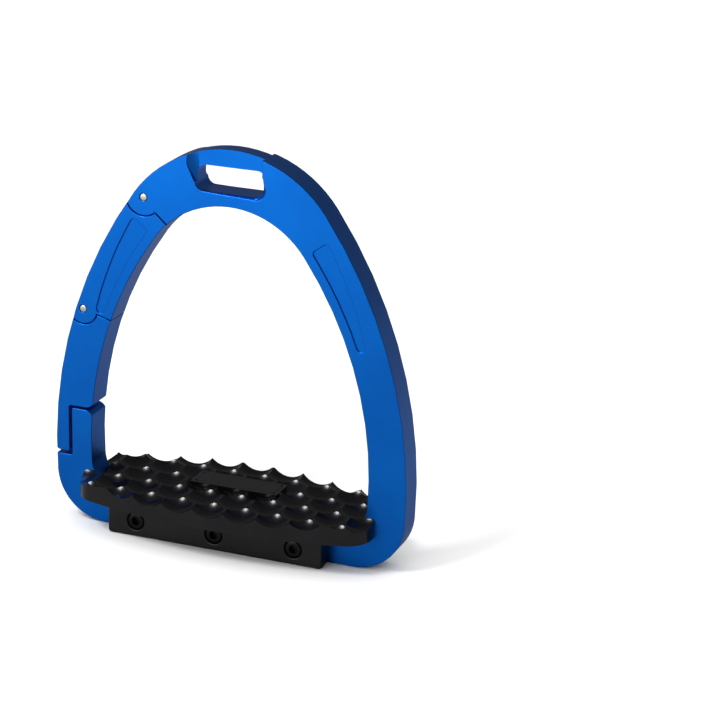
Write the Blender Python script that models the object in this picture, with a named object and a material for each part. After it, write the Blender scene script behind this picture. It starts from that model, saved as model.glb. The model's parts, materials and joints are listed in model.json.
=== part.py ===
# Safety stirrup iron with a double-hinged outer arm, a magnetic catch and a bolted-on studded tread.
# Metres, +Z up. X runs across the iron, the hinged arm is on -X, and -Y is the front.
# The origin is the middle of the underside of the base bar.
from math import acos, atan2, cos, hypot, pi, radians, sin, sqrt

import bmesh
import bpy
from mathutils import Matrix, Vector

# Iron: two tangent arcs and a closing corner arc on each side, outside and inside
iron_height = 0.1642
iron_depth = 0.0126
outer_radii = (0.0500, 0.1923)
outer_sweeps = (54.4, 38.9)
bar_height = 0.0137
crown_height = 0.0222
inner_radii = (0.0389, 0.1547)
inner_sweeps = (54.3, 39.2)

# Leather slot and the thinned bar above it
slot_length = 0.0286
slot_height = 0.0101
slot_bar_height = 0.0070
slot_corner = 0.0035
leather_bar_recess = 0.0026
leather_bar_inset = 0.0005
leather_bar_ramp = 0.0040

# Hinges: pin height and pin depth under the outer outline, and the knuckle round each pin
upper_pin_height = 0.1415
upper_pin_inset = 0.0043
upper_knuckle_radius = 0.0074
upper_lug_radius = 0.0052
upper_cusp_angle = -47.0
upper_seam_angle = -41.0
lower_pin_height = 0.0917
lower_pin_inset = 0.0030
lower_knuckle_radius = 0.0062
lower_lug_radius = 0.0043
lower_cusp_angle = -14.0
lower_seam_angle = -16.0
pin_diameter = 0.0030
pin_length = 0.0110
bush_wall = 0.0005
lug_thickness = 0.0060
knuckle_start_angle = -172.0
lug_start_angle = 170.0
seam_reach = 0.0300

# Magnetic catch at the foot of the hinged arm
tongue_thickness = 0.0057
lap_gap = 0.0013
ledge_height = 0.0275
tongue_gap = 0.0015
stub_height = 0.0481
shoulder_gap = 0.0011
catch_corner = 0.0040
catch_clear_of_corner = 0.0048
small_corner = 0.0008
magnet_diameter = 0.0050
magnet_length = 0.0025
magnet_recess = 0.0002
magnet_heights = (0.0340, 0.0425)

# Shallow tapered pockets in both arms
pocket_top = 0.1258
pocket_bottom = 0.0905
pocket_depth = 0.0006
pocket_near_edge = 0.0041
pocket_far_edge_top = 0.0121
pocket_far_edge_bottom = 0.0077
pocket_corner = 0.0015
pocket_stations = 7

# Rails astride the base bar and their screws
rail_length = 0.0938
rail_centre_x = -0.0024
rail_width = 0.0076
rail_corner = 0.0010
side_screw_pitch = 0.03465
side_screw_height = 0.0065
side_screw_thread = 0.0040
side_screw_head = 0.0070
side_screw_head_height = 0.0040
side_screw_bite = 0.0053
side_screw_socket = 0.0030
plate_screw_pitch = 0.03465
plate_screw_thread = 0.0030
plate_screw_head = 0.0058
plate_screw_head_height = 0.0017
plate_screw_bite = 0.0036
plate_screw_socket = 0.0020

# Tread plate, its studs and the blank badge
tread_length = 0.1270
tread_depth = 0.0526
tread_bow = 0.0096
tread_corner = 0.0110
tread_straight_inset = 0.0143
tread_thickness = 0.0050
tread_edge_steps = 10
stud_pitch = 0.01365
stud_height = 0.0036
stud_tip = 0.0009
stud_root = 0.0003
stud_rows = 6
studs_in_long_row = 9
badge_boss_drop = 0.0004
badge_boss_length = 0.0380
badge_boss_depth = 0.0120
badge_length = 0.0350
badge_depth = 0.0090
badge_thickness = 0.0010
badge_corner = 0.0020

# Clearances, and how far pins and screw heads sit under their faces
seam_gap = 0.0004
seat_gap = 0.0003
fit_gap = 0.00015
face_recess = 0.0001
socket_depth_share = 0.55

# Modelling: facets of arcs and round pieces, how far cutters pass a face, and what welds together
arc_step = radians(4.5)
shortest_chord = 0.0004
round_sides = 24
overrun = 0.0020
weld_distance = 2e-6
flat_angle = radians(0.3)
smooth_angle = radians(30)


def collection(name):
    group = bpy.data.collections.new(name)
    bpy.context.scene.collection.children.link(group)
    return group


def clear_scene():
    for item in list(bpy.data.objects):
        bpy.data.objects.remove(item, do_unlink=True)


clear_scene()
parts = collection("safety_stirrup_iron")
cutters = collection("cutters")


def material(name, colour, roughness, metallic):
    skin = bpy.data.materials.new(name)
    skin.use_nodes = True
    shader = skin.node_tree.nodes["Principled BSDF"]
    shader.inputs["Base Color"].default_value = (*colour, 1.0)
    shader.inputs["Roughness"].default_value = roughness
    shader.inputs["Metallic"].default_value = metallic
    skin.diffuse_color = (*colour, 1.0)
    return skin


blue = material("blue_anodised", (0.0, 0.13, 0.55), 0.32, 0.9)
black = material("black_anodised", (0.012, 0.012, 0.013), 0.42, 0.7)
steel = material("stainless_steel", (0.62, 0.60, 0.56), 0.28, 1.0)
black_steel = material("black_oxide_steel", (0.02, 0.02, 0.02), 0.35, 0.9)
bronze = material("sintered_bronze", (0.42, 0.25, 0.10), 0.45, 1.0)
nickel = material("nickel_plate", (0.60, 0.58, 0.54), 0.20, 1.0)


# Outlines in the XZ plane are lists of (x, z)

def arc(centre, radius, start, end):
    sweep = abs(end - start)
    steps = max(2, round(min(sweep / arc_step, radius * sweep / shortest_chord)))
    angles = [start + (end - start) * i / steps for i in range(steps + 1)]
    return [(centre[0] + radius * cos(a), centre[1] + radius * sin(a)) for a in angles]


def arch_half(radii, sweeps, top, floor):
    # from the apex down the +X side, each arc tangent to the last, the corner arc landing flat on floor
    points, x, z, heading = [(0.0, top)], 0.0, top, 0.0
    for radius, sweep in zip(radii, map(radians, sweeps)):
        centre = (x - radius * sin(heading), z - radius * cos(heading))
        points += arc(centre, radius, pi / 2 - heading, pi / 2 - heading - sweep)[1:]
        heading += sweep
        x, z = points[-1]
    corner = (z - floor) / (1 + cos(heading))
    centre = (x - corner * sin(heading), z - corner * cos(heading))
    return points + arc(centre, corner, pi / 2 - heading, -pi / 2)[1:]


def closed(half):
    return half + [(-x, z) for x, z in reversed(half) if x > weld_distance]


outer_half = arch_half(outer_radii, outer_sweeps, iron_height, 0.0)
inner_half = arch_half(inner_radii, inner_sweeps, iron_height - crown_height, bar_height)


def half_width(half, height):
    # half width of an arch at a height, above its corner arc
    for (xa, za), (xb, zb) in zip(half, half[1:]):
        if za >= height >= zb:
            return xa + (xb - xa) * (za - height) / (za - zb)
    raise ValueError("no outline at this height")


def outward_normal(half, height):
    step = 0.002
    xa, xb = half_width(half, height + step), half_width(half, height - step)
    length = hypot(xb - xa, 2 * step)
    return 2 * step / length, (xb - xa) / length


def rounded(corners):
    # corners are (x, z, radius), and each radius becomes a tangent arc
    points = []
    for i, (x, z, radius) in enumerate(corners):
        if radius == 0:
            points.append((x, z))
            continue
        here = Vector((x, z))
        back = (Vector(corners[i - 1][:2]) - here).normalized()
        ahead = (Vector(corners[(i + 1) % len(corners)][:2]) - here).normalized()
        half_angle = acos(max(-1, min(1, back.dot(ahead)))) / 2
        reach = radius / (sin(half_angle) / cos(half_angle))
        centre = here + (back + ahead).normalized() * radius / sin(half_angle)
        start = here + back * reach - centre
        end = here + ahead * reach - centre
        a0, a1 = atan2(start.y, start.x), atan2(end.y, end.x)
        turn = (a1 - a0 + pi) % (2 * pi) - pi
        points += arc(centre, radius, a0, a0 + turn)
    return points


def rectangle(x0, x1, z0, z1, radius=0.0):
    return rounded([(x0, z0, radius), (x1, z0, radius), (x1, z1, radius), (x0, z1, radius)])


# Solids

def hide(item):
    item.hide_render = True
    item.display_type = "WIRE"


def mesh_object(name, mesh, group):
    item = bpy.data.objects.new(name, mesh)
    group.objects.link(item)
    if group is cutters:
        hide(item)
    return item


def weld(body):
    bmesh.ops.remove_doubles(body, verts=body.verts, dist=weld_distance)
    bmesh.ops.dissolve_limit(body, angle_limit=flat_angle, verts=body.verts, edges=body.edges)


def prism(name, outline, low, high, group=cutters, upright=False):
    # a flat outline with thickness: across Y from low to high, or up Z when upright
    flat = bpy.data.curves.new(name, "CURVE")
    flat.dimensions = "2D"
    flat.fill_mode = "BOTH"
    flat.extrude = (high - low) / 2
    line = flat.splines.new("POLY")
    line.points.add(len(outline) - 1)
    for point, (a, b) in zip(line.points, outline):
        point.co = (a, b, 0.0, 1.0)
    line.use_cyclic_u = True
    sketch = bpy.data.objects.new(name + "_sketch", flat)
    bpy.context.scene.collection.objects.link(sketch)
    mid = (high + low) / 2
    if upright:
        sketch.matrix_world = Matrix.Translation((0, 0, mid))
    else:
        sketch.matrix_world = Matrix.Translation((0, mid, 0)) @ Matrix.Rotation(pi / 2, 4, "X")
    bpy.context.view_layer.update()
    ready = sketch.evaluated_get(bpy.context.evaluated_depsgraph_get())
    mesh = bpy.data.meshes.new_from_object(ready)
    mesh.transform(sketch.matrix_world)
    bpy.data.objects.remove(sketch, do_unlink=True)
    body = bmesh.new()
    body.from_mesh(mesh)
    weld(body)
    bmesh.ops.recalc_face_normals(body, faces=body.faces)
    body.to_mesh(mesh)
    body.free()
    return mesh_object(name, mesh, group)


along_x = Matrix.Rotation(pi / 2, 4, "Y")
along_y = Matrix.Rotation(-pi / 2, 4, "X")
along_z = Matrix.Identity(4)


def cylinder(name, start, length, radius, direction, group=cutters, end_radius=None, sides=round_sides):
    # starts at a point and runs along +X, +Y or +Z, or the other way when length is negative
    body = bmesh.new()
    far = radius if end_radius is None else end_radius
    ends = (radius, far) if length > 0 else (far, radius)
    bmesh.ops.create_cone(body, cap_ends=True, segments=sides, radius1=ends[0], radius2=ends[1],
                          depth=abs(length))
    body.transform(Matrix.Translation(start) @ direction @ Matrix.Translation((0, 0, length / 2)))
    mesh = bpy.data.meshes.new(name)
    body.to_mesh(mesh)
    body.free()
    return mesh_object(name, mesh, group)


def boolean(target, tool, operation):
    step = target.modifiers.new(operation.lower() + "_" + tool.name, "BOOLEAN")
    step.operation = operation
    step.object = tool
    step.solver = "EXACT"


def cut(target, *tools):
    for tool in tools:
        boolean(target, tool, "DIFFERENCE")


def keep(target, tool):
    boolean(target, tool, "INTERSECT")


def join(target, *tools):
    for tool in tools:
        boolean(target, tool, "UNION")


def finish(item, skin, origin=(0, 0, 0), parent=None):
    # evaluates the modifiers, drops slivers, and puts the object's origin on its own axis or centre
    bpy.context.view_layer.update()
    ready = item.evaluated_get(bpy.context.evaluated_depsgraph_get())
    mesh = bpy.data.meshes.new_from_object(ready)
    item.modifiers.clear()
    mesh.name = item.name
    item.data = mesh
    body = bmesh.new()
    body.from_mesh(mesh)
    weld(body)
    bmesh.ops.triangulate(body, faces=body.faces)
    body.to_mesh(mesh)
    body.free()
    mesh.transform(Matrix.Translation(-Vector(origin)))
    mesh.materials.clear()
    mesh.materials.append(skin)
    mesh.shade_smooth()
    mesh.set_sharp_from_angle(angle=smooth_angle)
    item.location = origin
    if parent:
        item.parent = parent
        item.location = Vector(origin) - parent.matrix_world.translation
    return item


# Hinge places and the regions that each seam divides

half_depth = iron_depth / 2
half_lug = lug_thickness / 2
pin_radius = pin_diameter / 2
bush_bore = pin_radius + fit_gap
bush_radius = bush_bore + bush_wall


def pin_centre(height, inset):
    # a point inset below the outer outline of the -X arm
    nx, nz = outward_normal(outer_half, height)
    rim = half_width(outer_half, height)
    for _ in range(12):
        level = height + inset * nz
        nx, nz = outward_normal(outer_half, level)
        rim = half_width(outer_half, level)
    return -(rim - inset * nx), height


class Hinge:
    def __init__(self, height, inset, knuckle, lug, cusp_angle, seam_angle):
        self.centre = pin_centre(height, inset)
        self.knuckle = knuckle
        self.lug = lug
        self.cusp = radians(cusp_angle)
        self.seam = radians(seam_angle)

    def seam_end(self, gap):
        # the cusp, and the far end of the straight stop out in the foot opening
        radius = self.knuckle + gap
        angle = self.cusp - gap / radius
        cusp = (self.centre[0] + radius * cos(angle), self.centre[1] + radius * sin(angle))
        return [cusp, (cusp[0] + seam_reach * cos(self.seam), cusp[1] + seam_reach * sin(self.seam))]

    def under_seam(self, bottom):
        # what the piece above gives up: everything under its knuckle and its straight stop
        knuckle = arc(self.centre, self.knuckle, radians(knuckle_start_angle), self.cusp)[:-1]
        cusp, far = self.seam_end(0.0)
        outer = [(-iron_height, bottom), (-iron_height, knuckle[0][1])]
        return outer + knuckle + [cusp, far, (0, far[1]), (0, bottom)]

    def over_lug(self):
        # what the piece below gives up: everything over its lug and its straight stop
        lug = arc(self.centre, self.lug, radians(lug_start_angle), self.cusp - seam_gap / self.lug)
        cusp, far = self.seam_end(seam_gap)
        outer = [(-iron_height, 2 * iron_height), (-iron_height, lug[0][1])]
        return outer + lug + [cusp, far, (0, far[1]), (0, 2 * iron_height)]

    def lug_slot(self):
        # the lug with clearance, and the sector that its neck fills
        start, end = radians(lug_start_angle) - 2 * pi, self.cusp + seam_gap / self.lug
        neck = arc(self.centre, self.knuckle + overrun, start, end)
        return neck + arc(self.centre, self.lug + seam_gap, end, start + 2 * pi)


upper_hinge = Hinge(upper_pin_height, upper_pin_inset, upper_knuckle_radius, upper_lug_radius,
                    upper_cusp_angle, upper_seam_angle)
lower_hinge = Hinge(lower_pin_height, lower_pin_inset, lower_knuckle_radius, lower_lug_radius,
                    lower_cusp_angle, lower_seam_angle)


def across(hinge, y=0.0):
    return hinge.centre[0], y, hinge.centre[1]


def through(name, outline, group=cutters):
    return prism(name, outline, -half_depth - overrun, half_depth + overrun, group)


def ring(name):
    body = prism(name, closed(outer_half), -half_depth, half_depth, parts)
    cut(body, through(name + "_opening", closed(inner_half)))
    return body


def cut_for_lug(body, hinge):
    # the middle slot that takes the lug below, and the blind bore for its pin
    reach = half_lug + seat_gap
    bore = cylinder(body.name + "_pin_bore", across(hinge, -half_depth - overrun),
                    overrun + pin_length + face_recess + seat_gap, bush_bore, along_y)
    cut(body, prism(body.name + "_lug_slot", hinge.lug_slot(), -reach, reach), bore)


def shape_lug(body, hinge):
    # the middle lug that turns between the ears above, and the seat for its bush
    cut(body, through(body.name + "_over_lug", hinge.over_lug()))
    for face in (-1, 1):
        cut(body, cylinder(f"{body.name}_knuckle_{face}", across(hinge, face * half_lug), face * iron_depth,
                           hinge.knuckle + seam_gap, along_y, sides=round(2 * pi / arc_step)))
    cut(body, cylinder(body.name + "_bush_seat", across(hinge, -half_lug - overrun),
                       lug_thickness + 2 * overrun, bush_radius + fit_gap, along_y))


def pocket_outline(side):
    # tapered, following the inside of the arch, round at its narrow foot
    near, far = [], []
    for i in range(pocket_stations):
        share = i / (pocket_stations - 1)
        level = pocket_top + (pocket_bottom - pocket_top) * share
        x = half_width(inner_half, level)
        nx, nz = outward_normal(inner_half, level)
        edge = pocket_far_edge_top + (pocket_far_edge_bottom - pocket_far_edge_top) * share
        near.append((x + nx * pocket_near_edge, level + nz * pocket_near_edge))
        far.append((x + nx * edge, level + nz * edge))
    foot = ((near[-1][0] + far[-1][0]) / 2, (near[-1][1] + far[-1][1]) / 2)
    lean = atan2(far[-1][1] - foot[1], far[-1][0] - foot[0])
    round_foot = arc(foot, (pocket_far_edge_bottom - pocket_near_edge) / 2, lean - pi, lean)
    corners = [(x, z, 0) for x, z in near[1:-1] + round_foot + far[-2:0:-1]]
    corners += [(*far[0], pocket_corner), (*near[0], pocket_corner)]
    return [(side * x, z) for x, z in rounded(corners)]


def cut_pockets(body, side):
    for face in (-1, 1):
        low, high = sorted((face * (half_depth - pocket_depth), face * (half_depth + overrun)))
        cut(body, prism(f"{body.name}_pocket_{face}", pocket_outline(side), low, high))


def magnet_seats(body, face_x, inward):
    for i, height in enumerate(magnet_heights):
        depth = magnet_recess + magnet_length + seat_gap
        cut(body, cylinder(f"{body.name}_magnet_seat_{i}", (face_x - inward * overrun, 0, height),
                           inward * (depth + overrun), magnet_diameter / 2 + fit_gap, along_x))


def magnets(name, face_x, inward, parent=None):
    for i, height in enumerate(magnet_heights, 1):
        start = (face_x + inward * magnet_recess, 0, height)
        body = cylinder(f"{name}_{i}", start, inward * magnet_length, magnet_diameter / 2, along_x, parts)
        finish(body, nickel, start, parent)


# Where things sit

tongue_end = ledge_height + tongue_gap
lap_tongue = tongue_thickness - half_width(outer_half, tongue_end)
lap_stub = lap_tongue + lap_gap
shoulder = stub_height + shoulder_gap
rail_face = half_depth + seat_gap + rail_width
rail_top = bar_height
tread_bottom = bar_height + seat_gap
tread_floor = tread_bottom + tread_thickness
stud_top = tread_floor + stud_height
row_pitch = stud_pitch * sqrt(3) / 2
badge_y = row_pitch / 2
side_screw_places = [rail_centre_x + i * side_screw_pitch for i in (-1, 0, 1)]
plate_screw_places = [rail_centre_x + i * plate_screw_pitch / 2 for i in (-1, 1)]
plate_screw_y = half_depth + seat_gap + rail_width / 2


def pivot(name, hinge, parent=None):
    # an empty on a hinge axis, which carries everything that turns there
    marker = bpy.data.objects.new(name, None)
    marker.empty_display_size = 0.01
    parts.objects.link(marker)
    marker.location = across(hinge)
    if parent:
        marker.parent = parent
        marker.location = Vector(across(hinge)) - parent.matrix_world.translation
    bpy.context.view_layer.update()
    return marker


upper_pivot = pivot("upper_pivot", upper_hinge)
lower_pivot = pivot("lower_pivot", lower_hinge, upper_pivot)


def leather_bar_recess_cutter(face, half_slot, slot_top):
    # thins the bar with a step at its +X end and a ramp at its -X end, which runs out beside the slot
    half_bar = half_slot - leather_bar_inset
    slope = leather_bar_ramp / leather_bar_recess
    deep, out = half_depth - leather_bar_recess, half_depth + overrun
    plan = [(half_bar, face * deep), (half_bar, face * out),
            (-half_bar - slope * (out - deep), face * out), (-half_bar, face * deep)]
    foot = slot_top - slot_height + slot_corner
    crown = iron_height + overrun
    recess = prism(f"leather_bar_{face}", plan, foot, crown, upright=True)
    elevation = [(half_bar + overrun, foot - overrun), (half_bar + overrun, crown + overrun),
                 (-iron_height, crown + overrun), (-iron_height, slot_top),
                 (-half_bar - leather_bar_ramp, slot_top), (-half_slot + leather_bar_inset, foot - overrun)]
    keep(recess, through(f"leather_bar_side_{face}", elevation))
    return recess


def build_frame():
    frame = ring("frame")
    inner_face = -half_width(inner_half, stub_height) + seat_gap
    low = stub_height - catch_clear_of_corner
    seam = upper_hinge.under_seam(ledge_height)
    window = seam[1:-2]
    window += rounded([(seam[-3][0], low, 0),
                       (inner_face, low, 0),
                       (inner_face, stub_height, catch_corner),
                       (lap_stub, stub_height, small_corner),
                       (lap_stub, ledge_height, small_corner),
                       (-iron_height, ledge_height, 0)])
    cut(frame, through("arm_window", window))
    cut_for_lug(frame, upper_hinge)
    slot_top = iron_height - slot_bar_height
    half_slot = slot_length / 2
    cut(frame, through("leather_slot", rectangle(-half_slot, half_slot, slot_top - slot_height, slot_top,
                                                 slot_corner)))
    for face in (-1, 1):
        cut(frame, leather_bar_recess_cutter(face, half_slot, slot_top))
    cut_pockets(frame, 1)
    magnet_seats(frame, lap_stub, 1)
    for face in (-1, 1):
        for i, x in enumerate(side_screw_places):
            start = (x, face * (half_depth + overrun), side_screw_height)
            cut(frame, cylinder(f"bar_tapping_{face}_{i}", start,
                                -face * (overrun + side_screw_bite + seat_gap),
                                side_screw_thread / 2 + fit_gap, along_y))
    finish(frame, blue)


def arm_blank(name):
    blank = ring(name)
    keep(blank, through(name + "_side", rectangle(-iron_height, -crown_height, -overrun, 2 * iron_height)))
    return blank


def build_upper_link():
    link = arm_blank("upper_link")
    shape_lug(link, upper_hinge)
    cut(link, through("upper_link_foot", lower_hinge.under_seam(-2 * overrun)))
    cut_for_lug(link, lower_hinge)
    cut_pockets(link, -1)
    finish(link, blue, across(upper_hinge), upper_pivot)


def build_lower_link():
    link = arm_blank("lower_link")
    shape_lug(link, lower_hinge)
    high = shoulder + catch_clear_of_corner
    inner_face = -half_width(inner_half, high) + seat_gap
    outer_face = -half_width(outer_half, tongue_end) - seat_gap
    foot = rounded([(0, high, 0), (inner_face, high, 0), (inner_face, shoulder, catch_corner),
                    (lap_tongue, shoulder, small_corner), (lap_tongue, tongue_end, small_corner),
                    (outer_face, tongue_end, 2 * small_corner), (outer_face, tongue_end + catch_corner, 0),
                    (-iron_height, tongue_end + catch_corner, 0), (-iron_height, -2 * overrun, 0),
                    (0, -2 * overrun, 0)])
    cut(link, through("lower_link_foot", foot))
    magnet_seats(link, lap_tongue, -1)
    finish(link, blue, across(lower_hinge), lower_pivot)


def build_hinge_hardware(name, hinge, pin_parent, bush_parent):
    pin = cylinder(f"{name}_hinge_pin", across(hinge, -half_depth + face_recess), pin_length, pin_radius,
                   along_y, parts)
    finish(pin, steel, across(hinge), pin_parent)
    bush = cylinder(f"{name}_hinge_bush", across(hinge, -half_lug), lug_thickness, bush_radius, along_y, parts)
    cut(bush, cylinder(f"{name}_bush_bore", across(hinge, -half_lug - overrun), lug_thickness + 2 * overrun,
                       bush_bore, along_y))
    finish(bush, bronze, across(hinge), bush_parent)


def build_rail(name, face):
    ends = (rail_centre_x - rail_length / 2, rail_centre_x + rail_length / 2)
    near, far = sorted((face * (half_depth + seat_gap), face * rail_face))
    outline = rounded([(ends[0], 0, rail_corner), (ends[1], 0, rail_corner), (ends[1], rail_top, 0),
                       (ends[0], rail_top, 0)])
    rail = prism(name, outline, near, far, parts)
    for i, x in enumerate(side_screw_places):
        start = (x, face * (rail_face + overrun), side_screw_height)
        cut(rail, cylinder(f"{name}_hole_{i}", start, -face * (rail_width + 2 * overrun),
                           side_screw_thread / 2 + seat_gap, along_y))
        cut(rail, cylinder(f"{name}_counterbore_{i}", start,
                           -face * (overrun + side_screw_head_height + seat_gap + face_recess),
                           side_screw_head / 2 + seat_gap, along_y))
    slope = (plate_screw_head - plate_screw_thread) / 2 / plate_screw_head_height
    for i, x in enumerate(plate_screw_places):
        y = face * plate_screw_y
        cut(rail, cylinder(f"{name}_plate_hole_{i}", (x, y, -overrun), rail_top + 2 * overrun,
                           plate_screw_thread / 2 + fit_gap, along_z))
        sink = plate_screw_head / 2 + seat_gap
        cut(rail, cylinder(f"{name}_countersink_{i}", (x, y, -overrun), overrun + sink / slope,
                           sink + slope * overrun, along_z, end_radius=0.0))
    finish(rail, black, ((ends[0] + ends[1]) / 2, face * plate_screw_y, 0))


def cap_screw():
    # local: head at -Y with its top on the origin, thread running to +Y
    length = rail_face - face_recess - half_depth + side_screw_bite
    screw = cylinder("cap_screw", (0, 0, 0), side_screw_head_height, side_screw_head / 2, along_y)
    join(screw, cylinder("cap_screw_thread", (0, side_screw_head_height / 2, 0),
                         length - side_screw_head_height / 2, side_screw_thread / 2, along_y))
    cut(screw, cylinder("cap_screw_socket", (0, -overrun, 0),
                        overrun + side_screw_head_height * socket_depth_share,
                        side_screw_socket / sqrt(3), along_y, sides=6))
    return screw


def countersunk_screw():
    # local: head down with its face on the origin, thread running up +Z
    length = tread_bottom + plate_screw_bite - face_recess
    screw = cylinder("countersunk_screw", (0, 0, 0), plate_screw_head_height, plate_screw_head / 2, along_z,
                     end_radius=plate_screw_thread / 2 - fit_gap)
    join(screw, cylinder("countersunk_screw_thread", (0, 0, plate_screw_head_height / 2),
                         length - plate_screw_head_height / 2, plate_screw_thread / 2, along_z))
    cut(screw, cylinder("countersunk_screw_socket", (0, 0, -overrun),
                        overrun + plate_screw_head_height * socket_depth_share,
                        plate_screw_socket / sqrt(3), along_z, sides=6))
    return screw


def copies(pattern, skin, places):
    # places maps a name to its location and its turn about Z
    finish(pattern, skin)
    for name, (location, turn) in places.items():
        item = mesh_object(name, pattern.data, parts)
        item.location = location
        item.rotation_euler = (0, 0, turn)


def build_screws():
    sides = {}
    flats = {}
    for label, face in (("front", -1), ("rear", 1)):
        turn = 0.0 if face < 0 else pi
        for i, x in enumerate(side_screw_places, 1):
            place = (x, face * (rail_face - face_recess), side_screw_height)
            sides[f"{label}_rail_screw_{i}"] = (place, turn)
        for i, x in enumerate(plate_screw_places, 1):
            flats[f"{label}_plate_screw_{i}"] = ((x, face * plate_screw_y, face_recess), 0.0)
    copies(cap_screw(), black_steel, sides)
    copies(countersunk_screw(), black_steel, flats)


def tread_outline():
    half_length, half_tread = tread_length / 2, tread_depth / 2
    radius = (half_length ** 2 + tread_bow ** 2) / (2 * tread_bow)
    span = half_length - tread_straight_inset
    edge = []
    for i in range(tread_edge_steps + 1):
        x = -span + 2 * span * i / tread_edge_steps
        edge.append((x, -half_tread + radius - sqrt(radius ** 2 - x ** 2), 0))
    corner_y = -half_tread + tread_bow
    front = [(-half_length, corner_y, tread_corner)] + edge + [(half_length, corner_y, tread_corner)]
    return rounded(front + [(-x, -y, r) for x, y, r in front])


def stud_places():
    # staggered rows, long and short in turn, less the studs that the badge boss replaces
    for row in range(stud_rows):
        y = (row - (stud_rows - 1) / 2) * row_pitch
        count = studs_in_long_row if row % 2 else studs_in_long_row - 1
        for i in range(count):
            x = (i - (count - 1) / 2) * stud_pitch
            if abs(y - badge_y) > weld_distance or abs(x) > badge_boss_length / 2:
                yield x, y


def arm_clearance(side):
    # the space outside the arch's inner face, with the seat gap added, where an arm passes the tread
    line = []
    low = [point for point in inner_half if point[1] < tread_floor + 3 * stud_height]
    for (xa, za), (xb, zb) in zip(low, low[1:]):
        length = hypot(xb - xa, zb - za)
        nx, nz = (zb - za) / length, -(xb - xa) / length
        x, z = (xa + xb) / 2 + nx * seat_gap, (za + zb) / 2 + nz * seat_gap
        if z > tread_bottom + fit_gap:
            line.append((x, z))
    outline = line + [(line[-1][0], 0), (iron_height, 0), (iron_height, line[0][1])]
    return [(side * x, z) for x, z in outline]


def build_tread():
    plate = prism("tread_plate", rectangle(-tread_length, tread_length, -tread_depth, tread_depth),
                  tread_bottom, tread_floor, parts, upright=True)
    # at floor level the hexagonal studs all but touch
    rim = stud_pitch / sqrt(3) - fit_gap
    slope = (rim - stud_tip) / stud_height
    studs = bmesh.new()
    for x, y in stud_places():
        before = set(studs.verts)
        bmesh.ops.create_cone(studs, cap_ends=True, segments=6, radius1=rim, radius2=stud_tip,
                              depth=stud_height + stud_root)
        fresh = [v for v in studs.verts if v not in before]
        bmesh.ops.translate(studs, verts=fresh, vec=(x, y, tread_floor + (stud_height - stud_root) / 2))
    field = bpy.data.meshes.new("studs")
    studs.to_mesh(field)
    studs.free()
    join(plate, mesh_object("studs", field, cutters))
    half_boss, half_deep = badge_boss_length / 2, badge_boss_depth / 2
    boss_top = stud_top - badge_boss_drop
    boss = rectangle(-half_boss, half_boss, badge_y - half_deep, badge_y + half_deep, badge_corner)
    join(plate, prism("badge_boss", boss, tread_bottom + tread_thickness / 2, boss_top, upright=True))
    keep(plate, prism("tread_edge", tread_outline(), 0, 2 * stud_top, upright=True))
    clear = half_depth + seat_gap
    for side in (-1, 1):
        cut(plate, prism(f"arm_clearance_{side}", arm_clearance(side), -clear, clear))
    half_long, half_wide = badge_length / 2, badge_depth / 2
    seat = rectangle(-half_long - fit_gap, half_long + fit_gap, badge_y - half_wide - fit_gap,
                     badge_y + half_wide + fit_gap, badge_corner)
    cut(plate, prism("badge_seat", seat, boss_top - badge_thickness - seat_gap, boss_top + overrun,
                     upright=True))
    for face in (-1, 1):
        for i, x in enumerate(plate_screw_places):
            cut(plate, cylinder(f"plate_tapping_{face}_{i}", (x, face * plate_screw_y, 0),
                                tread_bottom + plate_screw_bite + seat_gap,
                                plate_screw_thread / 2 + fit_gap, along_z))
    finish(plate, black, (0, 0, tread_bottom))
    badge = prism("badge_plate", rectangle(-half_long, half_long, badge_y - half_wide, badge_y + half_wide,
                                           badge_corner), boss_top - badge_thickness, boss_top, parts,
                  upright=True)
    finish(badge, black, (0, badge_y, boss_top))


build_frame()
build_upper_link()
build_lower_link()
build_hinge_hardware("upper", upper_hinge, None, upper_pivot)
build_hinge_hardware("lower", lower_hinge, upper_pivot, lower_pivot)
magnets("stub_magnet", lap_stub, 1)
magnets("link_magnet", lap_tongue, -1, lower_pivot)
build_rail("front_rail", -1)
build_rail("rear_rail", 1)
build_screws()
build_tread()
bpy.context.view_layer.update()
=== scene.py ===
import json
from math import cos, pi, radians, sin, sqrt

import bmesh
import bpy
from mathutils import Matrix, Vector

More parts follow.
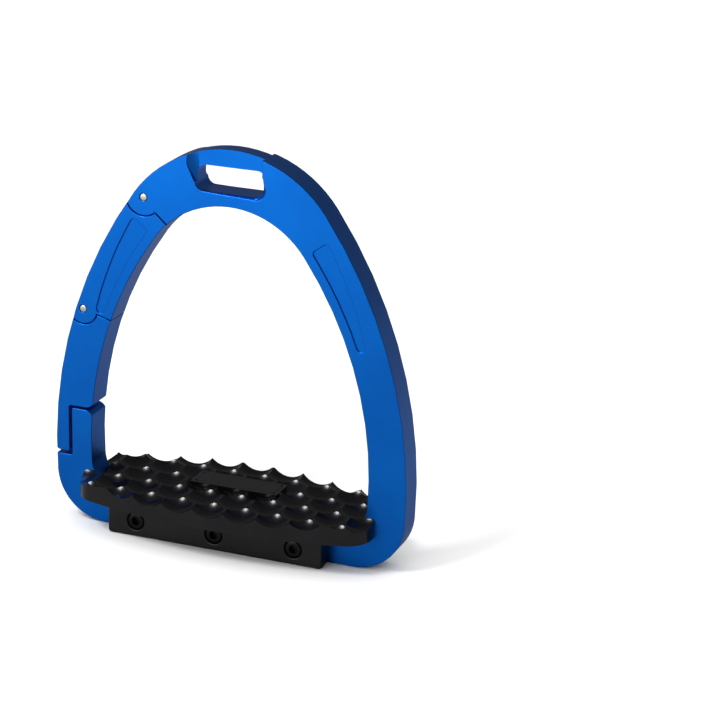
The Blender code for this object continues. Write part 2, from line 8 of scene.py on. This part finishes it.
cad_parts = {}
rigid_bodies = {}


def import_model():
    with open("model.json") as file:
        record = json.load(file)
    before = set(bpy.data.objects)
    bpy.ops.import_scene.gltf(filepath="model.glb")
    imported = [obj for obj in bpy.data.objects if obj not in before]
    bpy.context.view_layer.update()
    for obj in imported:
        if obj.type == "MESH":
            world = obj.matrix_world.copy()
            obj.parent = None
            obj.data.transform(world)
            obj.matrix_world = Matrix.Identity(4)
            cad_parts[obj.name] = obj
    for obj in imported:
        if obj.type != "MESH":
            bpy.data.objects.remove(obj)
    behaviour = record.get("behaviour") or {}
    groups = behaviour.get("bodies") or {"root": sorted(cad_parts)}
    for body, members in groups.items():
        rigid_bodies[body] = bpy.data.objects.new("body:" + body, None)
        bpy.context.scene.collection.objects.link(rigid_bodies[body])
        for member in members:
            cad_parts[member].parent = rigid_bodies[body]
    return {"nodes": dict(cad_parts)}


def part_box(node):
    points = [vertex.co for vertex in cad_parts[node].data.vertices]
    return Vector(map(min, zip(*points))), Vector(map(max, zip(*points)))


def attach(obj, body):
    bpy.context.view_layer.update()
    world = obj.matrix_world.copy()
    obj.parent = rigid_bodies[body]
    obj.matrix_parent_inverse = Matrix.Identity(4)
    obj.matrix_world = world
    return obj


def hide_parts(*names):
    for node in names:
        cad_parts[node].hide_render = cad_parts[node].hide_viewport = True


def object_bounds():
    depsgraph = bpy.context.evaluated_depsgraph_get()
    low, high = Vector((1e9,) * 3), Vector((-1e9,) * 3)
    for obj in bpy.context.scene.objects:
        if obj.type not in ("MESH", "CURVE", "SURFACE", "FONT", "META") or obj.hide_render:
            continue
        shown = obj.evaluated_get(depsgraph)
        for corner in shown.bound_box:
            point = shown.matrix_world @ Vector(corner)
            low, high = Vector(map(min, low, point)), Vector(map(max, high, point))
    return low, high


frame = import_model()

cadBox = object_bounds()
print("frame:", len(frame["nodes"]), "nodes")


# small helpers


def deselectAll():
    for item in bpy.data.objects:
        item.select_set(False)


def makeActive(item):
    deselectAll()
    item.select_set(True)
    bpy.context.view_layer.objects.active = item


def applyModifier(piece, kind, **settings):
    makeActive(piece)
    step = piece.modifiers.new(kind.lower(), kind)
    for name, value in settings.items():
        setattr(step, name, value)
    bpy.ops.object.modifier_apply(modifier=step.name)


def combine(piece, tool, operation):
    applyModifier(piece, "BOOLEAN", operation=operation, object=tool, solver="EXACT")
    bpy.data.objects.remove(tool, do_unlink=True)


def settlePlace(piece):
    # the place goes into the mesh, the object stays at the origin
    makeActive(piece)
    bpy.ops.object.transform_apply(location=True, rotation=True, scale=True)


def smoothByAngle(piece, angle=35):
    makeActive(piece)
    bpy.ops.object.shade_smooth_by_angle(angle=radians(angle))


def selectFaces(piece, test):
    # in edit mode: only the faces that pass, by their centre and normal
    body = bmesh.from_edit_mesh(piece.data)
    for face in body.faces:
        face.select_set(False)
    body.select_flush(False)
    for face in body.faces:
        if test(face.calc_center_median(), face.normal):
            face.select_set(True)
    bmesh.update_edit_mesh(piece.data)


def selectEdges(piece, test):
    body = bmesh.from_edit_mesh(piece.data)
    for face in body.faces:
        face.select_set(False)
    for edge in body.edges:
        edge.select_set(False)
    body.select_mode = {"EDGE"}
    for edge in body.edges:
        if test(edge):
            edge.select_set(True)
    body.select_flush(False)
    bmesh.update_edit_mesh(piece.data)


def copyOfNode(node, name):
    # a CAD node's triangles as a new piece with whole flat faces
    source = frame["nodes"][node]
    piece = bpy.data.objects.new(name, source.data.copy())
    bpy.context.scene.collection.objects.link(piece)
    piece.data.materials.clear()
    makeActive(piece)
    bpy.ops.object.mode_set(mode="EDIT")
    bpy.ops.mesh.select_all(action="SELECT")
    bpy.ops.mesh.customdata_custom_splitnormals_clear()
    bpy.ops.mesh.remove_doubles(threshold=0.000004)
    bpy.ops.mesh.select_all(action="SELECT")
    bpy.ops.mesh.normals_make_consistent(inside=False)
    bpy.ops.mesh.dissolve_limited(angle_limit=radians(0.6))
    bpy.ops.object.mode_set(mode="OBJECT")
    return piece


def place(piece, body, slotName, skin, *nodes):
    piece.data.materials.clear()
    piece.data.materials.append(skin)
    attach(piece, body)
    if nodes:
        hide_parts(*nodes)
    return piece


# finishes


def fromHex(code, alpha=1.0):
    # sRGB hex to linear
    channels = [int(code[i:i + 2], 16) / 255 for i in (1, 3, 5)]
    linear = [c / 12.92 if c <= 0.04045 else ((c + 0.055) / 1.055) ** 2.4 for c in channels]
    return (*linear, alpha)


def addNode(tree, kind, inputs=None, **settings):
    # inputs take a value or another node's output socket
    node = tree.nodes.new(kind)
    for name, value in settings.items():
        setattr(node, name, value)
    for name, value in (inputs or {}).items():
        if isinstance(value, bpy.types.NodeSocket):
            tree.links.new(value, node.inputs[name])
        else:
            node.inputs[name].default_value = value
    return node


def newSkin(name):
    skin = bpy.data.materials.new(name)
    skin.use_nodes = True
    tree = skin.node_tree
    return skin, tree, tree.nodes["Principled BSDF"]


def mottled(tree, place, size, low, high, fromMin=0.35, fromMax=0.65, detail=3.0):
    # a soft noise of a real size in metres, spread between two values
    noise = addNode(tree, "ShaderNodeTexNoise", {"Vector": place, "Scale": 1 / size, "Detail": detail})
    spread = addNode(tree, "ShaderNodeMapRange", {"Value": noise.outputs["Fac"], "From Min": fromMin,
                                                  "From Max": fromMax, "To Min": low, "To Max": high})
    return spread.outputs["Result"]


def anodised(name, settings):
    # blasted and anodised aluminium: a dyed clear oxide over matt metal, so colour comes from the metal
    # and a white sheen lies on top of it
    skin, tree, shader = newSkin(name)
    where = addNode(tree, "ShaderNodeTexCoord").outputs["Object"]
    blotch = mottled(tree, where, settings["blotch"], 0.0, 1.0)
    tone = addNode(tree, "ShaderNodeMix", {"Factor": blotch}, data_type="RGBA")
    tone.inputs["A"].default_value = fromHex(settings["colour"])
    tone.inputs["B"].default_value = fromHex(settings["colourDeep"])
    tree.links.new(tone.outputs["Result"], shader.inputs["Base Color"])
    rough = mottled(tree, where, settings["grain"], settings["roughness"][0], settings["roughness"][1])
    tree.links.new(rough, shader.inputs["Roughness"])
    shader.inputs["Metallic"].default_value = settings["metallic"]
    shader.inputs["Coat Weight"].default_value = settings["coat"]
    shader.inputs["Coat Roughness"].default_value = settings["coatRoughness"]
    shader.inputs["Coat IOR"].default_value = 1.6
    blast = addNode(tree, "ShaderNodeTexNoise", {"Vector": where, "Scale": 1 / settings["grain"],
                                                 "Detail": 2.0})
    bump = addNode(tree, "ShaderNodeBump", {"Height": blast.outputs["Fac"], "Strength": settings["bump"],
                                            "Distance": settings["grainHeight"]})
    tree.links.new(bump.outputs["Normal"], shader.inputs["Normal"])
    return skin


blueOxide = {"colour": "#0070D8", "colourDeep": "#0068CE", "blotch": 0.030, "grain": 0.00035,
             "grainHeight": 0.00002, "bump": 0.25, "roughness": (0.36, 0.42), "metallic": 1.0,
             "coat": 0.15, "coatRoughness": 0.22}
blackOxide = {"colour": "#242326", "colourDeep": "#1C1B1E", "blotch": 0.020, "grain": 0.00040,
              "grainHeight": 0.00002, "bump": 0.30, "roughness": (0.38, 0.46), "metallic": 0.85,
              "coat": 0.35, "coatRoughness": 0.30}
blue = anodised("blueAnodisedBlastedAluminium", blueOxide)
black = anodised("blackAnodisedBlastedAluminium", blackOxide)
milledOxide = {"colour": "#302F31", "colourDeep": "#29282A", "blotch": 0.020, "grain": 0.00050,
               "grainHeight": 0.00002, "bump": 0.15, "roughness": (0.22, 0.28), "metallic": 0.95,
               "coat": 0.30, "coatRoughness": 0.20}
milledBlack = anodised("blackAnodisedMilledAluminium", milledOxide)


def turnedSteel(name, settings):
    # ground, plated or sintered metal: fine uneven roughness breaks up a bright highlight
    skin, tree, shader = newSkin(name)
    where = addNode(tree, "ShaderNodeTexCoord").outputs["Object"]
    rough = mottled(tree, where, settings["grain"], settings["roughness"][0], settings["roughness"][1])
    tree.links.new(rough, shader.inputs["Roughness"])
    shader.inputs["Base Color"].default_value = fromHex(settings["colour"])
    shader.inputs["Metallic"].default_value = 1.0
    scratch = addNode(tree, "ShaderNodeTexNoise", {"Vector": where, "Scale": 1 / settings["grain"],
                                                   "Detail": 3.0})
    bump = addNode(tree, "ShaderNodeBump", {"Height": scratch.outputs["Fac"], "Strength": 0.2,
                                            "Distance": 0.00001})
    tree.links.new(bump.outputs["Normal"], shader.inputs["Normal"])
    return skin


stainless = turnedSteel("groundStainlessSteel",
                        {"colour": "#E2DDD2", "grain": 0.0002, "roughness": (0.22, 0.34)})
blackSteel = turnedSteel("blackOxideAlloySteel",
                         {"colour": "#2A2A2B", "grain": 0.0002, "roughness": (0.26, 0.36)})
bronze = turnedSteel("sinteredOiledBronze",
                     {"colour": "#A87B45", "grain": 0.0003, "roughness": (0.42, 0.55)})
nickel = turnedSteel("brightNickelPlate",
                     {"colour": "#D6D0C4", "grain": 0.0004, "roughness": (0.10, 0.18)})
print("finishes ready")


# iron: frame and the two links of the hinged arm, with rounded rims and a flared leather slot mouth

iron = {"rim": 0.00030, "rimSteps": 3, "slotFlare": 0.0010, "flareSteps": 4, "slotDeep": 0.0060,
        "slotArea": ((-0.0106, 0.1468), (0.0146, 0.1530)), "planeTolerance": 0.00008,
        "facesFlat": 0.99, "facesAside": 0.1, "sharpCorner": 20, "tinyEdge": 0.00016,
        "sameDepth": 0.000001}


def roundRims(piece, plane, rim):
    # sinks the flat region on a plane, then insets it back up in a quarter round
    facing = 1 if plane > 0 else -1
    makeActive(piece)
    bpy.ops.object.mode_set(mode="EDIT")
    selectFaces(piece, lambda centre, normal: abs(centre.y - plane) < iron["planeTolerance"]
                and normal.y * facing > iron["facesFlat"])
    bpy.ops.transform.translate(value=(0, -facing * rim, 0))
    turns = [pi / 2 * i / iron["rimSteps"] for i in range(iron["rimSteps"] + 1)]
    for start, end in zip(turns, turns[1:]):
        bpy.ops.mesh.inset(thickness=rim * (cos(start) - cos(end)), depth=rim * (sin(end) - sin(start)))
    bpy.ops.object.mode_set(mode="OBJECT")


def dropTinyEdges(piece):
    # specks of edge at the cusps of the seams would fold over themselves in the rounding
    makeActive(piece)
    bpy.ops.object.mode_set(mode="EDIT")
    selectEdges(piece, lambda edge: edge.calc_length() < iron["tinyEdge"]
                and abs(edge.verts[0].co.y - edge.verts[1].co.y) < iron["sameDepth"])
    bpy.ops.mesh.dissolve_degenerate(threshold=iron["tinyEdge"])
    bpy.ops.object.mode_set(mode="OBJECT")


def flareSlot(piece):
    # softens the slot's mouth along its lower edge and at the solid arm's end; the ramp's end stays sharp
    (left, low), (right, high) = iron["slotArea"]

    def onMouth(edge):
        if len(edge.link_faces) != 2 or edge.calc_face_angle(0.0) < radians(iron["sharpCorner"]):
            return False
        middle = (edge.verts[0].co + edge.verts[1].co) / 2
        if not (left < middle.x < right and low < middle.z < high):
            return False
        steep = [abs(face.normal.y) < iron["facesAside"] for face in edge.link_faces]
        return edge.is_convex and steep[0] != steep[1] and abs(middle.y) > iron["slotDeep"]

    makeActive(piece)
    bpy.ops.object.mode_set(mode="EDIT")
    selectEdges(piece, onMouth)
    bpy.ops.mesh.bevel(offset=iron["slotFlare"], segments=iron["flareSteps"], affect="EDGES",
                       clamp_overlap=False, loop_slide=False)
    bpy.ops.object.mode_set(mode="OBJECT")


def finishShading(piece):
    smoothByAngle(piece)
    applyModifier(piece, "WEIGHTED_NORMAL", keep_sharp=True, weight=100)


def buildIron():
    face = -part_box("upper_link")[0].y
    for node in ("frame", "upper_link", "lower_link"):
        piece = copyOfNode(node, node + "_finished")
        dropTinyEdges(piece)
        if node == "frame":
            flareSlot(piece)
        for plane in (-face, face):
            roundRims(piece, plane, iron["rim"])
        finishShading(piece)
        place(piece, node, "blue_anodised", blue, node)
    print("iron: rims rounded")


buildIron()


# rails

rail = {"rim": 0.0005}


def buildRails():
    for node in ("front_rail", "rear_rail"):
        piece = copyOfNode(node, node + "_finished")
        low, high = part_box(node)
        roundRims(piece, low.y if low.y < 0 else high.y, rail["rim"])
        finishShading(piece)
        place(piece, "frame", "black_anodised", black, node)
    print("rails: edges rounded")


buildRails()


# side screws: socket head cap screws with a bevelled rim and a hexagon socket

capScrew = {"sides": 48, "headHeight": 0.0040, "headWidth": 0.0070, "rim": 0.00055, "rimSteps": 3,
            "socketAcross": 0.0030, "socketDepth": 0.0022, "chamfer": 0.0002, "chamferDepth": 0.0005,
            "chamferInner": 0.0003, "chamferDrop": 0.00015, "shankSides": 32, "shankRadius": 0.0020,
            "shankOverlap": 0.0002, "smoothAngle": 30}


capFace = 0.9  # how squarely the end face of a round piece looks along its axis


def buildCapScrew(node, facing):
    low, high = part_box(node)
    middle = (low + high) / 2
    top = low.y if facing < 0 else high.y
    turn = Matrix.Rotation(-facing * pi / 2, 4, "X")
    height = capScrew["headHeight"]
    bpy.ops.mesh.primitive_cylinder_add(vertices=capScrew["sides"], radius=capScrew["headWidth"] / 2,
                                        depth=height, rotation=turn.to_euler(),
                                        location=(middle.x, top - facing * height / 2, middle.z))
    head = bpy.context.object
    head.name = node + "_finished"
    settlePlace(head)
    bpy.ops.object.mode_set(mode="EDIT")
    outward = Vector((0, facing, 0))
    selectFaces(head, lambda centre, normal: normal.dot(outward) > capFace)
    bpy.ops.mesh.bevel(offset=capScrew["rim"], segments=capScrew["rimSteps"], affect="EDGES")
    bpy.ops.object.mode_set(mode="OBJECT")
    hexRadius = capScrew["socketAcross"] / sqrt(3)
    bpy.ops.mesh.primitive_cylinder_add(vertices=6, radius=hexRadius, depth=2 * capScrew["socketDepth"],
                                        location=(middle.x, top, middle.z), rotation=turn.to_euler())
    socket = bpy.context.object
    settlePlace(socket)
    combine(head, socket, "DIFFERENCE")
    bpy.ops.mesh.primitive_cone_add(vertices=capScrew["sides"], radius1=hexRadius + capScrew["chamfer"],
                                    radius2=hexRadius - capScrew["chamferInner"],
                                    depth=capScrew["chamferDepth"] + capScrew["chamfer"],
                                    location=(middle.x, top - facing * capScrew["chamferDrop"], middle.z),
                                    rotation=(turn @ Matrix.Rotation(pi, 4, "X")).to_euler())
    mouth = bpy.context.object
    settlePlace(mouth)
    combine(head, mouth, "DIFFERENCE")
    shank = (high.y - low.y) - height
    overlap = capScrew["shankOverlap"]
    shankMiddle = top - facing * (height + shank / 2 - overlap)
    bpy.ops.mesh.primitive_cylinder_add(vertices=capScrew["shankSides"], radius=capScrew["shankRadius"],
                                        depth=shank + 2 * overlap, rotation=turn.to_euler(),
                                        location=(middle.x, shankMiddle, middle.z))
    thread = bpy.context.object
    settlePlace(thread)
    combine(head, thread, "UNION")
    smoothByAngle(head, capScrew["smoothAngle"])
    place(head, "frame", "black_oxide_steel", blackSteel, node)


for side, facing in (("front", -1), ("rear", 1)):
    for number in (1, 2, 3):
        buildCapScrew(f"{side}_rail_screw_{number}", facing)
print("side screws ready")


# small parts that keep their CAD shape and take a finish

keptParts = {"upper_hinge_bush": bronze, "lower_hinge_bush": bronze, "stub_magnet_1": nickel,
             "stub_magnet_2": nickel, "link_magnet_1": nickel, "link_magnet_2": nickel}
for number in (1, 2):
    keptParts[f"front_plate_screw_{number}"] = blackSteel
    keptParts[f"rear_plate_screw_{number}"] = blackSteel
keptParts["badge_plate"] = black
for node, skin in keptParts.items():
    item = frame["nodes"][node]
    item.data.materials.clear()
    item.data.materials.append(skin)


# hinge pins with rounded ends

hingePin = {"sides": 40, "bevel": 0.00035, "bevelSteps": 4, "smoothAngle": 50}


def buildPin(node, body):
    low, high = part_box(node)
    middle = (low + high) / 2
    bpy.ops.mesh.primitive_cylinder_add(vertices=hingePin["sides"], radius=(high.z - low.z) / 2,
                                        depth=high.y - low.y, location=middle, rotation=(pi / 2, 0, 0))
    pin = bpy.context.object
    pin.name = node + "_finished"
    settlePlace(pin)
    bpy.ops.object.mode_set(mode="EDIT")
    selectFaces(pin, lambda centre, normal: abs(normal.y) > capFace)
    bpy.ops.mesh.bevel(offset=hingePin["bevel"], segments=hingePin["bevelSteps"], affect="EDGES")
    bpy.ops.object.mode_set(mode="OBJECT")
    smoothByAngle(pin, hingePin["smoothAngle"])
    place(pin, body, "stainless_steel", stainless, node)


buildPin("upper_hinge_pin", "frame")
buildPin("lower_hinge_pin", "upper_link")
print("pins ready")


# tread: round pits milled on a staggered grid leave pointed studs between them

tread = {"pitch": 0.01365, "rows": 6, "acrossHalf": 5, "firstRow": -0.0374, "pitRadius": 0.0099,
         "pitFloor": 0.0190, "skin": 0.0001, "pitSides": 40, "pitRings": 44, "bossRound": 0.0008,
         "boss": ((-0.0190, -0.0001), (0.0190, 0.0119)), "bossDrop": 0.0004, "bossRoot": 0.0010,
         "bossRoundSteps": 4, "badgeGap": 0.00015, "pitAbove": 0.0004, "clear": 0.001, "around": 0.01,
         "levelTolerance": 0.00002, "smoothAngle": 28}


def addBlock(low, high):
    low, high = Vector(low), Vector(high)
    bpy.ops.mesh.primitive_cube_add(size=1, location=(low + high) / 2, scale=high - low)
    block = bpy.context.object
    settlePlace(block)
    return block


def millPits(plate, top):
    # one ball-nosed pit, cut off above the plate and copied to every place of the grid; neighbours
    # overlap, so every third pit is milled in one pass
    centre = tread["pitFloor"] + tread["pitRadius"]
    bpy.ops.mesh.primitive_uv_sphere_add(segments=tread["pitSides"], ring_count=tread["pitRings"],
                                         radius=tread["pitRadius"], location=(0, 0, centre))
    pit = bpy.context.object
    settlePlace(pit)
    bpy.ops.object.mode_set(mode="EDIT")
    bpy.ops.mesh.select_all(action="SELECT")
    bpy.ops.mesh.bisect(plane_co=(0, 0, top + tread["pitAbove"]), plane_no=(0, 0, 1),
                        use_fill=True, clear_outer=True)
    bpy.ops.object.mode_set(mode="OBJECT")
    rowPitch = tread["pitch"] * sqrt(3) / 2
    passes = [[], [], []]
    for row in range(tread["rows"]):
        shift = 0.0 if row % 2 else 0.5
        for step in range(-tread["acrossHalf"], tread["acrossHalf"] + row % 2):
            mesh = pit.data.copy()
            mesh.transform(Matrix.Translation(((step + shift) * tread["pitch"],
                                               tread["firstRow"] + row * rowPitch, 0)))
            along = step - (row + 1) // 2
            passes[(along - row) % 3].append(bpy.data.objects.new("pit", mesh))
    for cutters in passes:
        deselectAll()
        for item in cutters:
            bpy.context.scene.collection.objects.link(item)
            item.select_set(True)
        bpy.context.view_layer.objects.active = cutters[0]
        bpy.ops.object.join()
        combine(plate, cutters[0], "DIFFERENCE")
    bpy.data.objects.remove(pit, do_unlink=True)


def buildTread():
    low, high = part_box("tread_plate")
    top = high.z
    plate = copyOfNode("tread_plate", "tread_plate_finished")
    level = tread["pitFloor"] - tread["skin"]
    around = tread["around"]
    combine(plate, addBlock((low.x - around, low.y - around, level), high + Vector((around,) * 3)),
            "DIFFERENCE")
    makeActive(plate)
    bpy.ops.object.mode_set(mode="EDIT")
    selectFaces(plate, lambda centre, normal: abs(centre.z - level) < tread["levelTolerance"]
                and normal.z > iron["facesFlat"])
    bpy.ops.mesh.extrude_region_move(TRANSFORM_OT_translate={"value": (0, 0, top - level)})
    bpy.ops.object.mode_set(mode="OBJECT")
    millPits(plate, top)
    (left, front), (right, back) = tread["boss"]
    bossTop = top - tread["bossDrop"]
    boss = addBlock((left, front, tread["pitFloor"] - tread["bossRoot"]), (right, back, bossTop))
    makeActive(boss)
    bpy.ops.object.mode_set(mode="EDIT")
    selectEdges(boss, lambda edge: abs(edge.verts[0].co.z - edge.verts[1].co.z) > tread["clear"])
    bpy.ops.mesh.bevel(offset=tread["bossRound"], segments=tread["bossRoundSteps"], affect="EDGES")
    bpy.ops.object.mode_set(mode="OBJECT")
    combine(plate, addBlock((left, front, bossTop), (right, back, top + tread["clear"])), "DIFFERENCE")
    combine(plate, boss, "UNION")
    low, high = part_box("badge_plate")
    gap = Vector((tread["badgeGap"],) * 3)
    combine(plate, addBlock(low - gap, high + gap + Vector((0, 0, tread["clear"]))), "DIFFERENCE")
    makeActive(plate)
    bpy.ops.object.shade_flat()
    smoothByAngle(plate, tread["smoothAngle"])
    place(plate, "frame", "black_anodised", milledBlack, "tread_plate")
    print("tread: pits milled,", len(plate.data.polygons), "faces")


buildTread()


# studio: pale floor, soft lights, camera

studio = {"lookAt": (0.0520, 0.0040, 0.0838), "azimuth": 20.5, "elevation": 19.6, "roll": 1.47,
          "distance": 0.976, "lens": 124.6, "sensor": 36, "floorSize": 40.0, "floorBelow": 0.0003,
          "floorPaint": 0.90, "floorInMirror": 0.25, "surroundings": 0.14, "aimAt": (0, 0, 0.08),
          "lights": {"frontLeftSoftbox": ((-0.55, -1.15, 0.30), (0.9, 0.6), 7.5),
                     "highSoftbox": ((-0.38, -0.56, 0.98), (0.26, 0.26), 6.0)},
          "skylight": 2.9, "skylightSpread": 120}


def brightOnlyInView(tree, seen, lit):
    # a value for what the camera sees directly, and a lower one for what lights and mirrors in the iron
    view = addNode(tree, "ShaderNodeLightPath").outputs["Is Camera Ray"]
    level = addNode(tree, "ShaderNodeMapRange", {"Value": view, "To Min": lit, "To Max": seen})
    return level.outputs["Result"]


def buildFloor():
    bpy.ops.mesh.primitive_plane_add(size=studio["floorSize"],
                                     location=(0, 0, cadBox[0].z - studio["floorBelow"]))
    floor = bpy.context.object
    floor.name = "floor"
    skin, tree, shader = newSkin("mattPaintedFloor")
    tone = brightOnlyInView(tree, studio["floorPaint"], studio["floorInMirror"])
    tree.links.new(tone, shader.inputs["Base Color"])
    shader.inputs["Roughness"].default_value = 0.9
    shader.inputs["Specular IOR Level"].default_value = 0.1
    floor.data.materials.append(skin)


def softbox(name, where, size, power):
    lamp = bpy.data.lights.new(name, "AREA")
    lamp.shape = "RECTANGLE"
    lamp.size, lamp.size_y = size
    lamp.energy = power
    item = bpy.data.objects.new(name, lamp)
    bpy.context.scene.collection.objects.link(item)
    item.location = where
    item.rotation_euler = (Vector(studio["aimAt"]) - Vector(where)).to_track_quat("-Z", "Y").to_euler()


def buildLights():
    world = bpy.data.worlds.new("studio")
    bpy.context.scene.world = world
    world.use_nodes = True
    tree = world.node_tree
    sky = tree.nodes["Background"]
    sky.inputs["Color"].default_value = fromHex("#FFFFFF")
    tree.links.new(brightOnlyInView(tree, 1.0, studio["surroundings"]), sky.inputs["Strength"])
    for name, (where, size, power) in studio["lights"].items():
        softbox(name, where, size, power)
    lamp = bpy.data.lights.new("skylight", "SUN")  # lights the floor evenly and isn't mirrored in the iron
    lamp.energy = studio["skylight"]
    lamp.angle = radians(studio["skylightSpread"])
    skylight = bpy.data.objects.new("skylight", lamp)
    bpy.context.scene.collection.objects.link(skylight)
    skylight.visible_glossy = False


def buildCamera():
    azimuth, elevation, roll = (radians(studio[k]) for k in ("azimuth", "elevation", "roll"))
    back = Vector((sin(azimuth) * cos(elevation), -cos(azimuth) * cos(elevation), sin(elevation)))
    level = Vector((cos(azimuth), sin(azimuth), 0))
    upright = back.cross(level)
    right = level * cos(roll) + upright * sin(roll)
    up = back.cross(right)
    lens = bpy.data.cameras.new("camera")
    lens.lens = studio["lens"]
    lens.sensor_width = studio["sensor"]
    camera = bpy.data.objects.new("camera", lens)
    bpy.context.scene.collection.objects.link(camera)
    turn = Matrix((right, up, back)).transposed().to_4x4()
    camera.matrix_world = Matrix.Translation(Vector(studio["lookAt"]) + back * studio["distance"]) @ turn
    bpy.context.scene.camera = camera


buildFloor()
buildLights()
buildCamera()
bpy.context.scene.view_settings.view_transform = "Standard"
print("studio ready")
